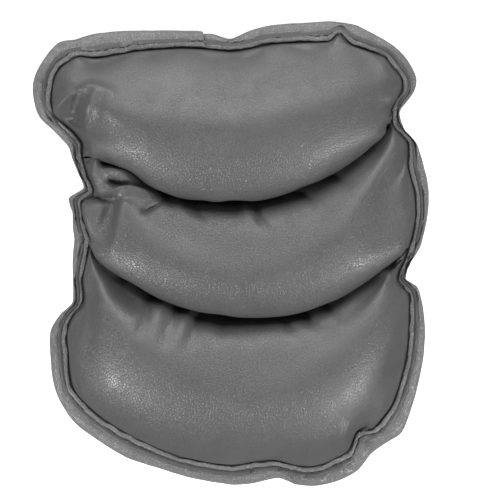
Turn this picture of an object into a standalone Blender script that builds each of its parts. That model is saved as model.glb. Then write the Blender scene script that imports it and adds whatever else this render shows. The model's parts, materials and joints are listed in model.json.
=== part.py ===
"""Stuffed leatherette pad: three filled lobes sewn to one base sheet, with a taped edge.

Frame: +X to the right, +Y along the pad's length, +Z up out of the lobes. The origin lies on
the floor under the middle of the pad. Lengths are in metres.

The edge is a soft, hand-sewn line, so it is given as pairs of points: one on the tape's outer
fold and one where the tape's upper leaf ends against the lobe. Every sheet, seam and thread
is placed between those two lines.
"""

import bmesh
import bpy
import numpy as np

MM = 0.001

# Sheet goods
BASE_THICKNESS = 1.0 * MM
COVER_THICKNESS = 1.2 * MM
TAPE_THICKNESS = 1.0 * MM
THREAD_DIAMETER = 0.7 * MM
GAP = 0.3 * MM  # clearance between one sheet and the next

# Heights above the floor
EDGE_LIFT = 1.5 * MM  # underside of the edge tape
FLANGE_TOP = EDGE_LIFT + TAPE_THICKNESS + BASE_THICKNESS + COVER_THICKNESS + 2 * GAP
TAPE_TOP = FLANGE_TOP + GAP + TAPE_THICKNESS
UPPER_LOBE_TOP = 40 * MM
MIDDLE_LOBE_TOP = 38 * MM
LOWER_LOBE_TOP = 42 * MM

# Roundness of the lobes, as the distance over which a lobe rises to its full height
RIM_RISE = 46 * MM
CHANNEL_RISE = 34 * MM

# Widths across the edge and the channels
BASE_FLAT_INSET = 17 * MM  # the base lies flat this far inside the tape's upper leaf
LIFT_REACH = 40 * MM  # beyond this distance from the edge nothing is lifted off the floor
TUCK = 1.5 * MM  # the sheets stop this far short of the tape's outer fold, plus its thickness
STITCH_INSET = 2.6 * MM  # thread line, from the end of the tape's upper leaf
CHANNEL_HALF_WIDTH = 1.0 * MM
CHANNEL_END_TRIM = 2.0 * MM  # a lobe leaves the channel this far before the tape
RIM_CLEARANCE = 0.5 * MM  # from the end of the tape's upper leaf to the lobe's wall
FILLING_INSET = 3.7 * MM  # from a lobe's outline to the outline of its filling
TIP_FACTOR = 2.5  # lines that meet in a lobe's pointed end are cut short this much more
FILLING_FOOT = 1.0 * MM  # height of the filling's side wall
FILLING_SPACE = 0.9 * MM  # between the top of a filling and its cover
RIM_END_MARGIN = 0.06  # of one edge pair, kept free between neighbouring lobes
TAPE_END_MARGIN = 0.03  # of one edge pair, kept free between the tape's two ends
THREAD_END_MARGIN = 0.1  # of one edge pair, from the tape's ends to the thread's
CHANNEL_THREAD_MARGIN = 0.03  # of the channel's length, free of thread at each end

# Mesh steps
EDGE_STEPS = 2  # per pair of edge points
CHANNEL_STEPS = 3  # per pair of channel points
MIDDLE_LOBE_COLUMNS = 22
MIDDLE_LOBE_FIRST_ROW = 0.15  # of one edge pair, so that the lobe's wall starts steeply
LOBE_ROWS = 7
FILLING_COLUMN_STEP = 2  # every second column of the cover above it
THREAD_SIDES = 4
SHARP_ANGLE = np.radians(40)
SMOOTHING = 4  # edge points averaged to each side for the line where the base turns flat

# Edge pairs in millimetres, (tape's outer fold), (end of its upper leaf), clockwise from the
# left end of the upper channel.
UPPER_EDGE = [
    ((-102, 61), (-96, 62)),
    ((-105, 69), (-96, 71)),
    ((-115, 80), (-104, 80)),
    ((-123, 88), (-112, 87)),
    ((-127, 99), (-116, 97)),
    ((-127, 112), (-115, 110)),
    ((-120, 126), (-111, 119)),
    ((-111, 136), (-104, 125)),
    ((-101, 138), (-97, 128)),
    ((-86, 142), (-85, 127)),
    ((-62, 144), (-62, 131)),
    ((-38, 144), (-38, 133)),
    ((-24, 144), (-22, 133)),
    ((-11, 142), (-10, 132)),
    ((0, 139), (1, 131)),
    ((10, 143), (13, 133)),
    ((25, 147), (29, 136)),
    ((47, 149), (50, 137)),
    ((62, 150), (64, 138)),
    ((71, 149), (70, 143)),
    ((82, 147), (77, 136)),
    ((96, 140), (90, 131)),
    ((107, 133), (100, 127)),
    ((115, 124), (105, 120)),
    ((120, 113), (111, 113)),
    ((118, 104), (111, 104)),
    ((112, 96), (106, 96)),
    ((109, 90), (104, 87)),
]
RIGHT_EDGE = [
    ((113, 79), (108, 79)),
    ((120, 71), (115, 71)),
    ((125, 56), (115, 57)),
    ((128, 40), (119, 40)),
    ((127, 23), (120, 23)),
    ((123, 5), (116, 5)),
]
LOWER_EDGE = [
    ((117, -5), (112, -6)),
    ((113, -16), (108, -17)),
    ((121, -22), (115, -25)),
    ((125, -39), (116, -38)),
    ((125, -60), (115, -60)),
    ((122, -81), (111, -80)),
    ((117, -98), (105, -97)),
    ((111, -114), (98, -107)),
    ((104, -120), (91, -114)),
    ((91, -129), (82, -115)),
    ((82, -140), (78, -126)),
    ((69, -147), (67, -133)),
    ((55, -150), (53, -138)),
    ((42, -149), (40, -137)),
    ((31, -145), (28, -134)),
    ((16, -148), (15, -135)),
    ((1, -149), (1, -137)),
    ((-23, -145), (-21, -134)),
    ((-45, -139), (-42, -128)),
    ((-68, -131), (-64, -118)),
    ((-89, -118), (-82, -107)),
    ((-104, -105), (-96, -95)),
    ((-113, -88), (-103, -84)),
    ((-116, -66), (-105, -65)),
    ((-116, -49), (-106, -51)),
    ((-109, -38), (-102, -40)),
    ((-102, -31), (-95, -31)),
    ((-102, -16), (-96, -16)),
    ((-102, -3), (-93, -2)),
]
LEFT_EDGE = [
    ((-101, 9), (-91, 8)),
    ((-102, 17), (-94, 17)),
    ((-102, 26), (-96, 26)),
    ((-104, 36), (-96, 34)),
    ((-95, 42), (-89, 40)),
    ((-98, 51), (-93, 50)),
]

# Channels between the lobes in millimetres, from left to right
UPPER_CHANNEL = [(-96, 62), (-82, 61), (-64, 53), (-44, 41), (-20, 35), (6, 34), (32, 39), (59, 50),
                 (84, 66), (99, 79), (104, 87)]
LOWER_CHANNEL = [(-91, 8), (-82, -4), (-65, -15), (-42, -27), (-13, -36), (16, -38), (45, -35),
                 (74, -23), (97, -8), (116, 5)]

# Pairs that matter to more than one piece, counted round the edge
RIGHT_END_OF_UPPER_CHANNEL = len(UPPER_EDGE) - 1
RIGHT_END_OF_LOWER_CHANNEL = len(UPPER_EDGE) + len(RIGHT_EDGE) - 1
LEFT_END_OF_LOWER_CHANNEL = RIGHT_END_OF_LOWER_CHANNEL + len(LOWER_EDGE) + 1
TAPE_JOINT = 12  # the tape's two ends meet here, in the top edge

# Colours
LEATHERETTE_GREY = (0.155, 0.155, 0.155, 1.0)
TAPE_GREY = (0.135, 0.135, 0.135, 1.0)
BACKING_BLACK = (0.02, 0.02, 0.02, 1.0)
FIBRE_WHITE = (0.80, 0.79, 0.76, 1.0)
THREAD_GREY = (0.10, 0.10, 0.10, 1.0)


def clear_scene():
    for obj in list(bpy.data.objects):
        bpy.data.objects.remove(obj, do_unlink=True)


def spline_at(points, t, closed):
    """Catmull-Rom curve through the points, at the fractional point number t."""
    count = len(points)
    index = int(np.floor(t))
    if not closed:
        index = min(index, count - 2)
    f = t - index
    near = [index - 1, index, index + 1, index + 2]
    if closed:
        near = [i % count for i in near]
    else:
        near = [min(max(i, 0), count - 1) for i in near]
    a, b, c, d = (points[i] for i in near)
    return 0.5 * (2 * b + (c - a) * f + (2 * a - 5 * b + 4 * c - d) * f**2 + (3 * b - a - 3 * c + d) * f**3)


def unit(vectors):
    return vectors / np.maximum(np.linalg.norm(vectors, axis=-1, keepdims=True), 1e-12)


def left_normals(points, closed):
    """Plan normals to the left of a line's direction of travel."""
    if closed:
        along = np.roll(points, -1, axis=0) - np.roll(points, 1, axis=0)
    else:
        along = np.gradient(points, axis=0)
    along = unit(along)
    return np.stack([-along[:, 1], along[:, 0]], axis=1)


def length_fractions(points):
    steps = np.linalg.norm(np.diff(points, axis=0), axis=1)
    run = np.concatenate([[0.0], np.cumsum(steps)])
    return run / run[-1]


def resample(points, fractions):
    """Points at the given fractions of an open line's length."""
    own = length_fractions(points)
    return np.stack([np.interp(fractions, own, points[:, k]) for k in range(points.shape[1])], axis=1)


def trimmed(line, fractions, by):
    """Points at fractions of a line's length, after the line is cut short by a length at each end."""
    cut = by / np.linalg.norm(np.diff(line, axis=0), axis=1).sum()
    return resample(line, cut + (1 - 2 * cut) * fractions)


def distance_to(line, points):
    """Shortest plan distance from each point to an open line."""
    flat = points.reshape(-1, 2)
    a = line[:-1]
    ab = line[1:] - a
    along = ((flat[:, None] - a) * ab).sum(-1) / np.maximum((ab * ab).sum(-1), 1e-18)
    foot = a + np.clip(along, 0, 1)[..., None] * ab
    return np.linalg.norm(flat[:, None] - foot, axis=-1).min(axis=1).reshape(points.shape[:-1])


class Edge:
    """The pad's edge: two closed lines and everything placed between them."""

    def __init__(self, pairs):
        self.outer = np.array([pair[0] for pair in pairs], float) * MM
        self.inner = np.array([pair[1] for pair in pairs], float) * MM
        self.count = len(pairs)

    def lines(self, t):
        """Points on the outer and the inner line at the given pair numbers."""
        return [np.array([spline_at(line, v, True) for v in t]) for line in (self.outer, self.inner)]

    def between(self, t, from_leaf_end):
        """Points across the tape: from_leaf_end is a distance from the upper leaf's end."""
        outer, inner = self.lines(t)
        return inner + unit(outer - inner) * np.reshape(from_leaf_end, (-1, 1))

    def widths(self, t):
        outer, inner = self.lines(t)
        return np.linalg.norm(outer - inner, axis=1)

    def tucked(self, t):
        """Where the sheets inside the folded tape end."""
        return self.between(t, self.widths(t) - TAPE_THICKNESS - TUCK)

    def stretch(self, start, end, steps=EDGE_STEPS):
        """Fractional pair numbers from one pair to another, going clockwise."""
        return np.linspace(start, end, (end - start) * steps + 1)


EDGE = Edge(UPPER_EDGE + RIGHT_EDGE + LOWER_EDGE + LEFT_EDGE)
INNER_LINE = EDGE.between(EDGE.stretch(0, EDGE.count), 0)


def channel_line(points):
    points = np.array(points, float) * MM
    steps = np.linspace(0, len(points) - 1, (len(points) - 1) * CHANNEL_STEPS + 1)
    return np.array([spline_at(points, t, False) for t in steps])


def base_surface_bound(points):
    """A height that the base's upper side stays under: lifted at the edge, low further in."""
    reach = np.clip(1 - distance_to(INNER_LINE, points) / LIFT_REACH, 0, 1)
    return BASE_THICKNESS + (EDGE_LIFT + TAPE_THICKNESS + GAP) * reach


def eased(count):
    """Fractions from 0 to 1, close together at both ends."""
    return (1 - np.cos(np.pi * np.arange(count + 1) / count)) / 2


def patch(sides, across, up):
    """Grid of plan points between four boundary lines, indexed [row, column]."""
    bottom, top, left, right = (sides[name] for name in ("bottom", "top", "left", "right"))
    u, v = across[None, :, None], up[:, None, None]
    ruled = (1 - v) * bottom + v * top + (1 - u) * left[:, None] + u * right[:, None]
    corners = (1 - v) * ((1 - u) * bottom[0] + u * bottom[-1]) + v * ((1 - u) * top[0] + u * top[-1])
    return ruled - corners


def rise(distance, reach):
    """Quarter of an ellipse, from 0 at the outline to 1 at the given distance."""
    return np.sqrt(1 - (1 - np.clip(distance / reach, 0, 1)) ** 2)


def new_object(name, mesh_maker, color, roughness, smooth=True):
    mesh = bpy.data.meshes.new(name)
    bm = bmesh.new()
    mesh_maker(bm)
    bmesh.ops.recalc_face_normals(bm, faces=bm.faces)
    bm.to_mesh(mesh)
    bm.free()
    if smooth:
        mesh.shade_smooth()
        mesh.set_sharp_from_angle(angle=SHARP_ANGLE)
    obj = bpy.data.objects.new(name, mesh)
    bpy.context.scene.collection.objects.link(obj)
    material = bpy.data.materials.new(name)
    material.use_nodes = True
    shader = material.node_tree.nodes["Principled BSDF"]
    shader.inputs["Base Color"].default_value = color
    shader.inputs["Roughness"].default_value = roughness
    shader.inputs["Metallic"].default_value = 0.0
    mesh.materials.append(material)
    return obj


def add_grid(bm, grid):
    rows = [[bm.verts.new(point) for point in row] for row in grid]
    for low, high in zip(rows, rows[1:]):
        for k in range(len(low) - 1):
            bm.faces.new((low[k], low[k + 1], high[k + 1], high[k]))
    return rows


def with_heights(plan, heights):
    return np.concatenate([plan, heights[..., None]], axis=-1)


class Lobe:
    """One stuffed lobe, bounded by stretches of the edge and by channels.

    rims gives pair numbers, and channels gives a plan line, for the sides that each bounds. A
    side with neither is where the two long sides meet.
    """

    def __init__(self, name, top, rims, channels, across, up):
        self.name = name
        self.top = top
        self.rims = rims
        self.channels = channels
        self.across = across
        self.up = up

    def sides(self, inset, step=1):
        """The four boundary lines, moved inwards by inset, with their corners joined.

        step thins out the columns of the grid that the lines will carry.
        """
        lines = {}
        for side, t in self.rims.items():
            t = t[::step] if side in ("bottom", "top") else t
            line = EDGE.between(t, -RIM_CLEARANCE - inset)
            lines[side] = trimmed(line, length_fractions(line), TIP_FACTOR * inset)
        for side, line in self.channels.items():
            inward = 1 if side == "bottom" else -1
            moved = line + left_normals(line, False) * (CHANNEL_HALF_WIDTH + inset) * inward
            lines[side] = trimmed(moved, self.across[::step], CHANNEL_END_TRIM + TIP_FACTOR * inset)
        for side, end in (("left", 0), ("right", -1)):
            if side in self.rims:
                lines["bottom"][end], lines["top"][end] = lines[side][0], lines[side][-1]
            else:
                low, high = lines["bottom"][end], lines["top"][end]
                lines[side] = low + (high - low) * self.up[:, None]
        return lines

    def plan(self, inset, step=1):
        return patch(self.sides(inset, step), self.across[::step], self.up)

    def heights(self, plan, inset, lower_by, foot):
        """Height of the stuffed surface: nothing at the outline, full in the middle."""
        shape = np.ones(plan.shape[:-1])
        lines = self.sides(0)
        for side in self.rims:
            shape = shape * rise(distance_to(lines[side], plan) - inset, RIM_RISE)
        for side in self.channels:
            shape = shape * rise(distance_to(lines[side], plan) - inset, CHANNEL_RISE)
        return foot + (self.top - lower_by - foot) * shape

    def make_cover(self):
        """Leatherette shell: a dome with a narrow flange that goes into the edge tape."""
        plan = self.plan(0)
        foot = np.minimum(base_surface_bound(plan) + GAP + COVER_THICKNESS, FLANGE_TOP)
        grid = with_heights(plan, self.heights(plan, 0, 0, foot))
        for side, t in self.rims.items():
            row = {"bottom": (0, slice(None)), "top": (-1, slice(None)),
                   "left": (slice(None), 0), "right": (slice(None), -1)}[side]
            grid[(*row, 2)] = FLANGE_TOP
            edge = EDGE.tucked(t)
            flange = with_heights(edge, np.full(len(edge), FLANGE_TOP))
            flange = flange[None] if side in ("bottom", "top") else flange[:, None]
            pieces = [flange, grid] if side in ("bottom", "left") else [grid, flange]
            grid = np.concatenate(pieces, axis=0 if side in ("bottom", "top") else 1)
        cover = new_object(self.name + "_cover", lambda bm: add_grid(bm, grid), LEATHERETTE_GREY, 0.45)
        solidify = cover.modifiers.new("thickness", "SOLIDIFY")
        solidify.thickness = COVER_THICKNESS
        solidify.offset = -1
        return cover

    def make_filling(self):
        """Loose fibre, packed under the cover and resting on the base."""
        plan = self.plan(FILLING_INSET, FILLING_COLUMN_STEP)
        below = base_surface_bound(plan) + GAP
        lower_by = COVER_THICKNESS + FILLING_SPACE
        above = self.heights(plan, FILLING_INSET, lower_by, below + FILLING_FOOT)

        def fill(bm):
            top_loop = ring_of(add_grid(bm, with_heights(plan, above)))
            bottom_loop = ring_of(add_grid(bm, with_heights(plan, below)))
            for k in range(len(top_loop)):
                n = (k + 1) % len(top_loop)
                bm.faces.new((bottom_loop[k], bottom_loop[n], top_loop[n], top_loop[k]))

        return new_object(self.name + "_filling", fill, FIBRE_WHITE, 0.95)


def ring_of(rows):
    """The outer vertices of a grid, in order."""
    right = [row[-1] for row in rows[1:-1]]
    left = [row[0] for row in rows[1:-1]]
    return rows[0] + right + rows[-1][::-1] + left[::-1]


def make_base():
    """Backing sheet: flat on the floor, turned up to the tape all round."""
    t = EDGE.stretch(0, EDGE.count)[:-1]
    inner = EDGE.between(t, 0)
    reach = SMOOTHING * EDGE_STEPS
    smoothed = sum(np.roll(inner, k, axis=0) for k in range(-reach, reach + 1)) / (2 * reach + 1)
    flat_line = smoothed - left_normals(smoothed, True) * BASE_FLAT_INSET
    lifted = EDGE_LIFT + TAPE_THICKNESS + GAP
    rings = [(EDGE.tucked(t), lifted), (inner, lifted), (flat_line, 0.0)]

    def fill(bm):
        layers = []
        for offset in (0.0, BASE_THICKNESS):
            loops = [[bm.verts.new((x, y, z + offset)) for x, y in line] for line, z in rings]
            for wide, narrow in zip(loops, loops[1:]):
                for k in range(len(wide)):
                    n = (k + 1) % len(wide)
                    bm.faces.new((wide[k], wide[n], narrow[n], narrow[k]))
            bm.faces.new(loops[-1])
            layers.append(loops[0])
        low, high = layers
        for k in range(len(low)):
            n = (k + 1) % len(low)
            bm.faces.new((low[k], low[n], high[n], high[k]))

    return new_object("base_cover", fill, BACKING_BLACK, 0.9, smooth=False)


def tape_section(width):
    """U-shaped section of the folded tape as (distance from the leaf end, height)."""
    low = EDGE_LIFT
    high = TAPE_TOP
    t = TAPE_THICKNESS
    shoulder, drop = width - 0.5 * t, 1.2 * t
    bend, inside = width - 3 * t, width - 1.5 * t
    return [(0, high), (bend, high), (shoulder, high - drop), (width, (low + high) / 2),
            (shoulder, low + drop), (bend, low), (0, low), (0, low + t),
            (inside, low + t), (inside, high - t), (0, high - t)]


def sweep(bm, sections):
    """Closed body through a row of sections, capped at both ends."""
    rings = [[bm.verts.new(point) for point in section] for section in sections]
    for a, b in zip(rings, rings[1:]):
        for k in range(len(a)):
            n = (k + 1) % len(a)
            bm.faces.new((a[k], a[n], b[n], b[k]))
    bm.faces.new(rings[0])
    bm.faces.new(rings[-1])


def tape_run(end_margin, steps):
    """Pair numbers once round the edge, from the tape's joint back to it."""
    t = EDGE.stretch(TAPE_JOINT, TAPE_JOINT + EDGE.count, steps)
    t[0] += end_margin
    t[-1] -= end_margin
    return t


def make_tape():
    """Leatherette tape folded over the edge, its two ends meeting in the top edge."""
    t = tape_run(TAPE_END_MARGIN, EDGE_STEPS)
    outer, inner = EDGE.between(t, EDGE.widths(t)), EDGE.between(t, 0)
    across = unit(outer - inner)
    sections = []
    for k, width in enumerate(EDGE.widths(t)):
        plan = [inner[k] + across[k] * s for s, _ in tape_section(width)]
        sections.append([(*p, z) for p, (_, z) in zip(plan, tape_section(width))])
    return new_object("edge_tape", lambda bm: sweep(bm, sections), TAPE_GREY, 0.5)


def make_thread(name, line, height):
    """Sewing thread along a plan line; height is one value or one for each point."""
    heights = np.broadcast_to(height, len(line))
    sides = left_normals(line, False)
    angles = 2 * np.pi * np.arange(THREAD_SIDES) / THREAD_SIDES
    sections = []
    for point, side, z in zip(line, sides, heights):
        ring = []
        for angle in angles:
            plan = point + side * np.cos(angle) * THREAD_DIAMETER / 2
            ring.append((*plan, z + np.sin(angle) * THREAD_DIAMETER / 2))
        sections.append(ring)
    return new_object(name, lambda bm: sweep(bm, sections), THREAD_GREY, 0.6)


def make_edge_threads():
    """Needle thread on the tape's upper leaf and bobbin thread under its lower leaf."""
    line = EDGE.between(tape_run(THREAD_END_MARGIN, 1), STITCH_INSET)
    clear = GAP + THREAD_DIAMETER / 2
    make_thread("edge_needle_thread", line, TAPE_TOP + clear)
    make_thread("edge_bobbin_thread", line, EDGE_LIFT - clear)


def make_channel_thread(name, line):
    """Thread in the groove between two lobes, holding their covers to the base."""
    fractions = np.linspace(CHANNEL_THREAD_MARGIN, 1 - CHANNEL_THREAD_MARGIN, len(line))
    inside = resample(line, fractions)
    clear = GAP + THREAD_DIAMETER / 2
    return make_thread(name, inside, base_surface_bound(inside) + clear)


def rim(start, end):
    """Pair numbers along one lobe's stretch of the edge, a little short of its ends."""
    t = EDGE.stretch(start, end)
    t[0] += RIM_END_MARGIN
    t[-1] -= RIM_END_MARGIN
    return t


def short_rim(start, end):
    """Pair numbers along one end of the middle lobe, with an extra step beside each channel."""
    t = rim(start, end)
    return np.sort(np.append(t, [start + MIDDLE_LOBE_FIRST_ROW, end - MIDDLE_LOBE_FIRST_ROW]))


def make_lobes():
    upper_channel = channel_line(UPPER_CHANNEL)
    lower_channel = channel_line(LOWER_CHANNEL)
    rows = eased(LOBE_ROWS)
    top_rim = rim(0, RIGHT_END_OF_UPPER_CHANNEL)
    bottom_rim = rim(RIGHT_END_OF_LOWER_CHANNEL, LEFT_END_OF_LOWER_CHANNEL)[::-1]
    left_rim = short_rim(LEFT_END_OF_LOWER_CHANNEL, EDGE.count)
    right_rim = short_rim(RIGHT_END_OF_UPPER_CHANNEL, RIGHT_END_OF_LOWER_CHANNEL)[::-1]
    ends = [length_fractions(EDGE.between(t, 0)) for t in (left_rim, right_rim)]
    lobes = [
        Lobe("upper", UPPER_LOBE_TOP, {"top": top_rim}, {"bottom": upper_channel},
             length_fractions(EDGE.between(top_rim, 0)), rows),
        Lobe("middle", MIDDLE_LOBE_TOP, {"left": left_rim, "right": right_rim},
             {"top": upper_channel, "bottom": lower_channel}, eased(MIDDLE_LOBE_COLUMNS),
             (ends[0] + ends[1]) / 2),
        Lobe("lower", LOWER_LOBE_TOP, {"bottom": bottom_rim}, {"top": lower_channel},
             length_fractions(EDGE.between(bottom_rim, 0)), rows),
    ]
    for lobe in lobes:
        lobe.make_cover()
        lobe.make_filling()
    make_channel_thread("upper_channel_thread", upper_channel)
    make_channel_thread("lower_channel_thread", lower_channel)


clear_scene()
make_base()
make_tape()
make_edge_threads()
make_lobes()
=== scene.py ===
"""Looks of the stuffed leatherette pad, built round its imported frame.

The frame's meshes give the tape's two edge lines and the two channels. Each lobe's cover is a
sheet of leatherette over that plan. A cloth simulation swells it, and the folds and puckers
listed below are then worked into it. Lengths are in metres unless a name or comment says mm.
"""

import json
import math

import bmesh
import bpy
import numpy as np
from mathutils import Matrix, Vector

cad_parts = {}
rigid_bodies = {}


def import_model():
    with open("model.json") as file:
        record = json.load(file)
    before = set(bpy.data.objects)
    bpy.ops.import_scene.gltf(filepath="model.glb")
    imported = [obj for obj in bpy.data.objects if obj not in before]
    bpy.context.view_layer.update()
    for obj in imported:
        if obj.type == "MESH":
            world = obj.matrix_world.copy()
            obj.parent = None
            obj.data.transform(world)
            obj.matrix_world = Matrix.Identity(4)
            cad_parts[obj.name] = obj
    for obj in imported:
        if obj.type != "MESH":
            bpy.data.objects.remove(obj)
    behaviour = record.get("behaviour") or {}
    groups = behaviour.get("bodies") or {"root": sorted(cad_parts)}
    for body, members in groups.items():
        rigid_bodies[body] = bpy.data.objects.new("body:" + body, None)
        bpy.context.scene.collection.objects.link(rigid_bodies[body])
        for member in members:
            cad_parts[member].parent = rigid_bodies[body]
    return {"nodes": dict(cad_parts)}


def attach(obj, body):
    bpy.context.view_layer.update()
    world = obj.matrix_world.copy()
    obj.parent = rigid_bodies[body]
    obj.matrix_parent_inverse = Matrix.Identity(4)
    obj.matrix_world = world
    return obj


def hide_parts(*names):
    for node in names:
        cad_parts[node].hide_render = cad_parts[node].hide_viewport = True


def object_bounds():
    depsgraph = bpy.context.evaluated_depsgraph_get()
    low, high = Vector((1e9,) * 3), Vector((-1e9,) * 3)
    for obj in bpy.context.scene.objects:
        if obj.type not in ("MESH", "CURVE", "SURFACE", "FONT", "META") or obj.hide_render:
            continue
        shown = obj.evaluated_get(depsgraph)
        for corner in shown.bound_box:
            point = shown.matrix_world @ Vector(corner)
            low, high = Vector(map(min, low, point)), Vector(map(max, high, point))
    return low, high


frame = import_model()
CAD_BOX = [list(corner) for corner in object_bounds()]

MM = 0.001

# Heights above the resting surface
BASE_THICKNESS = 1.0 * MM
SEAM_HEIGHT = 3.6 * MM
RIM_HEIGHT = 5.3 * MM
BASE_RIM_LIFT = 2.8 * MM
BASE_LIFT_REACH = 40 * MM
BASE_COLUMNS, BASE_ROWS = 120, 140
FLOOR_LEVEL = 0.02 * MM  # just off the pad's underside, so the two faces aren't in one plane
FLOOR_HALF = 3.0

# Covers
COVER_THICKNESS = 1.2 * MM
COLUMNS, COLUMN_EASING = 110, 0.75
ROWS, ROW_EASING = 84, 0.8
OVERHANG = 4.2 * MM
FLANGE = 0.45
LOBE_TOPS = {"upper": 37.0 * MM, "middle": 35.0 * MM, "lower": 39.0 * MM}
SIDE_STATIONS = {"upper": 12, "lower": 17}
SWELLING_FRAMES = 16
SWELLING_LIMIT = 7 * MM
CLEARANCE, SIDE_CLEARANCE = 3.4 * MM, 1.6  # over a filling, and that many times as much beside it
FILLING_STRIDE = 3  # rows and columns of the cover's grid for one of the filling's
FILLING_SCALE = (0.96, 0.98, 1.0)
FILLING_LEAST = 0.05
FILLING_FLOOR, FILLING_RIM = 0.6 * MM, 1.2 * MM  # above the backing sheet's middle
FIRST_PASSES, RELAX_PASSES = 4, 90
RELAX_MARGIN, RELAX_FADE = 8, 14.0  # in rows or columns of the grid
FINE_POINTS = 260
GROOVE = 3.6 * MM
GROOVE_FADE = 55 * MM
RIM_STEEPNESS, RIM_PULL = 0.8, 1.0
HANGING_STEEPNESS, HANGING_PULL = 0.5, 0.3
GROOVE_STEEPNESS, GROOVE_PULL = 0.4, 0.7
ROUNDNESS = 2.0
TUCK_WIDTH = 0.7 * MM
TUCK_RISE = 2.2 * MM
FOLD_FLOOR = 5.0 * MM
FOLD_POINTS = 24
FOLD_REACH = 4.0  # half widths from its line at which a fold ends
VALLEY_LEAN = 0.35  # how far a valley is pushed along the normal and not straight down
START_TAPER, START_LEAD, END_TAPER = 0.5, 0.35, 0.75  # as shares of a fold's length
RIM_HOLD, RIM_HOLD_HEIGHT = 5 * MM, 14 * MM  # where folds are held back beside the rim

# Edge tape
TAPE_THICKNESS = 1.0 * MM
TAPE_LOW, TAPE_TOP = 1.5 * MM, 6.9 * MM
LAP_RISE = 0.9 * MM
STITCH_PITCH = 5.0 * MM
STITCH_INSET = 3.5 * MM
STEPS_PER_STITCH = 8
THREAD_RADIUS = 0.4 * MM
LAP_STATIONS = 0.9
LAP_FADE = 14 * MM
TAPE_SAMPLES = 5000
THREAD_SIDES, THREAD_STEPS = 8, 9
STITCH_START, STITCH_END = 0.08, 0.92  # as shares of the pitch
STITCH_SINK_MM = 0.35

# Lights and camera: it frames FRAMED_SHARE of the pad's width and slack at FRAMED_LEVEL
LIGHT_TARGET = (0.0, 0.0, 0.02)
LENS_MM = 120.0
FRAMED_SHARE, FRAMED_SLACK = 1.258, 0.7 * MM
FRAMED_LEVEL = 5 * MM
CAMERA_X, CAMERA_Y = 12.6 * MM, 2.3 * MM

# Gathers in the tape: (plan place in mm, height in mm, half length in mm)
PLEATS = [
    ((6, 142), 1.3, 2.5), ((-2, 140), -1.9, 1.5), ((14, 143), 1.4, 2.5), ((20, 143), -1.4, 1.5),
    ((-106, 112), 1.3, 2.5), ((-112, 108), -1.6, 1.6), ((-104, 128), 1.4, 4.0),
    ((-100, 133), -1.3, 2.0), ((111, 60), 1.6, 3.0), ((122, 48), -1.6, 1.6),
    ((126, 40), 1.4, 3.0), ((128, 20), -1.3, 1.6), ((126, 4), 1.4, 3.0),
    ((-101, -32), 1.6, 2.5), ((-99, -12), -1.4, 1.8), ((-99, 2), 1.4, 2.5),
    ((-117, -104), 1.6, 3.5), ((-112, -110), -1.8, 2.0), ((94, -122), -2.2, 2.4),
    ((86, -132), 2.1, 3.0), ((78, -140), -1.9, 2.0), ((70, -143), 1.9, 3.0),
    ((60, -146), -1.9, 1.8), ((50, -148), 1.8, 3.0), ((40, -149), -2.2, 1.8),
    ((33, -147), 2.1, 2.6), ((24, -144), -1.6, 1.6), ((14, -146), 1.3, 2.5),
    ((4, -148), -1.4, 1.6), ((102, -112), 1.9, 3.5), ((108, -104), -1.6, 2.2),
]


# ---------------------------------------------------------------- lines and noise


def unit(vectors):
    return vectors / np.maximum(np.linalg.norm(vectors, axis=-1, keepdims=True), 1e-12)


def run_length(line):
    steps = np.linalg.norm(np.diff(line, axis=0), axis=1)
    return np.concatenate([[0.0], np.cumsum(steps)])


def at_index(line, index):
    """Catmull-Rom position on a line of points at fractional indexes."""
    index = np.clip(index, 0, len(line) - 1.000001)
    k = np.floor(index).astype(int)
    f = (index - k)[:, None]
    padded = np.concatenate([[2 * line[0] - line[1]], line, [2 * line[-1] - line[-2]]])
    a, b, c, d = (padded[k + n] for n in range(4))
    bend = 2 * a - 5 * b + 4 * c - d
    return 0.5 * (2 * b + (c - a) * f + bend * f**2 + (3 * b - a - 3 * c + d) * f**3)


def spread(line, first, last, shares):
    """Fractional indexes from first to last that split that stretch of a line by length."""
    index = np.linspace(first, last, 400)
    run = run_length(at_index(line, index))
    return np.interp(shares * run[-1], run, index)


def smoothstep(x):
    x = np.clip(x, 0, 1)
    return x * x * (3 - 2 * x)


def wobble(run, wavelength, seed):
    """Smooth noise from -1 to 1 along a line."""
    knots = np.random.default_rng(seed).uniform(-1, 1, int(run.max() / wavelength) + 5)
    place = run / wavelength
    k = np.floor(place).astype(int)
    f = smoothstep(place - k)
    return knots[k] * (1 - f) + knots[k + 1] * f


# ---------------------------------------------------------------- lines from the frame


def corner_points(node):
    """Unique corners of a CAD node and the pairs of them that share an edge."""
    mesh = frame["nodes"][node].data
    places = np.array([v.co for v in mesh.vertices])
    keys = np.round(places / (0.01 * MM)).astype(int)
    _, first, index = np.unique(keys, axis=0, return_index=True, return_inverse=True)
    index = index.reshape(-1)
    pairs = {tuple(sorted((index[e.vertices[0]], index[e.vertices[1]]))) for e in mesh.edges}
    return places[first], pairs


def walk(chosen, pairs):
    """The chosen corners in order along the edges that join them."""
    near = {k: set() for k in chosen}
    for a, b in pairs:
        if a in near and b in near and a != b:
            near[a].add(b)
            near[b].add(a)
    start = min((k for k in near if len(near[k]) == 1), default=min(near))
    order, seen = [start], {start}
    while True:
        onward = [k for k in near[order[-1]] if k not in seen]
        if not onward:
            return order
        order.append(onward[0])
        seen.add(onward[0])


def plan_key(point):
    return tuple(np.round(point[:2] / (0.02 * MM)).astype(int))


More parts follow.
